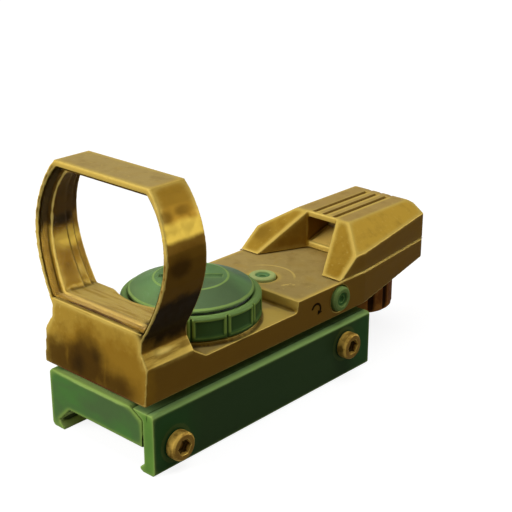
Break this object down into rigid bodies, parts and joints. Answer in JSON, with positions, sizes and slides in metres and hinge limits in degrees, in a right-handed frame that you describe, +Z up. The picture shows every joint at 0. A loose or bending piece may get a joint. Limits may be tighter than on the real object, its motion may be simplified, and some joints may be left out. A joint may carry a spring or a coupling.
{
  "type": "red dot finder",
  "caption": "Open reflex red dot finder with a leaning hooded lens, brightness knob over the battery, emitter housing with aiming adjusters and a rail clamp with screws.",
  "frame": {"origin": "middle of the flat seat in the base's channel that lies on the rail's top", "axes": "+Y along the rail from the hood to the emitter housing, +X towards the clamp screws, +Z up"},
  "size_m": [0.0316, 0.0775, 0.0472],
  "materials": {
    "gold_casting": "worn gold paint on a cast body",
    "gold_cover": "worn gold paint",
    "lens_glass": "clear coated glass",
    "window_glass": "clear glass",
    "green_base": "green paint, worn at the edges",
    "green_plate": "dark green paint, worn at the edges",
    "green_knob": "dark green paint, worn at the edges",
    "green_cap": "grey green paint",
    "green_adjuster": "green paint",
    "brown_selector": "red brown paint",
    "brass_screw": "worn brass",
    "contact_brass": "bright brass",
    "steel_screw": "zinc plated",
    "steel_spring": "bright spring steel",
    "steel_lid": "plain steel",
    "steel_drum": "dark thin steel",
    "cell_steel": "bright can",
    "seal_rubber": "matt black",
    "circuit_board": "solder mask",
    "arm_plastic": "black moulding",
    "led_plastic": "clear red"
  },
  "bodies": {
    "casting": {"main_body": "gold_casting", "reflector_lens": "lens_glass", "emitter_cover": "gold_cover", "emitter_window": "window_glass", "cover_screw_left": "steel_screw", "cover_screw_right": "steel_screw", "rail_base": "green_base", "base_screw_front_left": "steel_screw", "base_screw_front_right": "steel_screw", "base_screw_rear_left": "steel_screw", "base_screw_rear_right": "steel_screw", "switch_board": "circuit_board", "detent_ball": "steel_spring", "detent_spring": "steel_spring", "arm_lid": "steel_lid", "arm_spring": "steel_spring"},
    "clamp": {"clamp_plate": "green_plate"},
    "front_screw": {"clamp_screw_front": "brass_screw"},
    "rear_screw": {"clamp_screw_rear": "brass_screw"},
    "knob": {"brightness_knob": "green_knob", "coin_cell": "cell_steel", "battery_contact": "contact_brass", "knob_clip": "steel_spring", "switch_wiper": "contact_brass"},
    "cap_seat": {"cap_seal": "seal_rubber"},
    "cap": {"battery_cap": "green_cap"},
    "elevation": {"elevation_screw": "green_adjuster"},
    "windage": {"windage_screw": "green_adjuster"},
    "yoke": {"pivot_yoke": "contact_brass"},
    "arm": {"emitter_arm": "arm_plastic", "led_board": "circuit_board", "led": "led_plastic"},
    "selector": {"reticle_selector": "brown_selector", "reticle_drum": "steel_drum"}
  },
  "joints": [
    {"name": "clamp_slide", "type": "slide", "parent": "casting", "child": "clamp", "axis": [1, 0, 0], "range_m": [0, 0.0015]},
    {"name": "front_screw_turn", "type": "hinge", "parent": "clamp", "child": "front_screw", "pos_m": [0.0132, -0.023, 0.00035], "axis": [1, 0, 0], "range_deg": [0, 1080]},
    {"name": "rear_screw_turn", "type": "hinge", "parent": "clamp", "child": "rear_screw", "pos_m": [0.0132, 0.0203, 0.0027], "axis": [1, 0, 0], "range_deg": [0, 1080]},
    {"name": "knob_turn", "type": "hinge", "parent": "casting", "child": "knob", "pos_m": [0, -0.006, 0.018], "axis": [0, 0, 1], "range_deg": [-150, 150]},
    {"name": "cap_lift", "type": "slide", "parent": "knob", "child": "cap_seat", "axis": [0, 0, 1], "range_m": [0, 0.0015]},
    {"name": "cap_turn", "type": "hinge", "parent": "cap_seat", "child": "cap", "pos_m": [0, -0.006, 0.0189], "axis": [0, 0, 1], "range_deg": [0, 720]},
    {"name": "elevation_turn", "type": "hinge", "parent": "casting", "child": "elevation", "pos_m": [0, 0.01225, 0.0153], "axis": [0, 0, 1], "range_deg": [-360, 360]},
    {"name": "windage_turn", "type": "hinge", "parent": "casting", "child": "windage", "pos_m": [0.0131, 0.0196, 0.0118], "axis": [1, 0, 0], "range_deg": [-180, 180]},
    {"name": "yoke_swing", "type": "hinge", "parent": "casting", "child": "yoke", "pos_m": [0, 0.028, 0.0117], "axis": [0, 0, 1], "range_deg": [-1.7, 1.7]},
    {"name": "arm_tilt", "type": "hinge", "parent": "yoke", "child": "arm", "pos_m": [0, 0.028, 0.0117], "axis": [1, 0, 0], "range_deg": [-1.8, 1.8], "deforming": ["arm_spring"]},
    {"name": "selector_turn", "type": "hinge", "parent": "arm", "child": "selector", "pos_m": [0, 0.0415, 0.0085], "axis": [0, 0, 1], "continuous": true}
  ],
  "couplings": [
    {"joint": "front_screw_turn", "follows": "clamp_slide", "rad_per_m": 12566},
    {"joint": "rear_screw_turn", "follows": "clamp_slide", "rad_per_m": 12566},
    {"joint": "cap_turn", "follows": "cap_lift", "rad_per_m": 8377.5},
    {"joint": "elevation_turn", "follows": "arm_tilt", "ratio": -197.92},
    {"joint": "windage_turn", "follows": "yoke_swing", "ratio": 105.56}
  ]
}
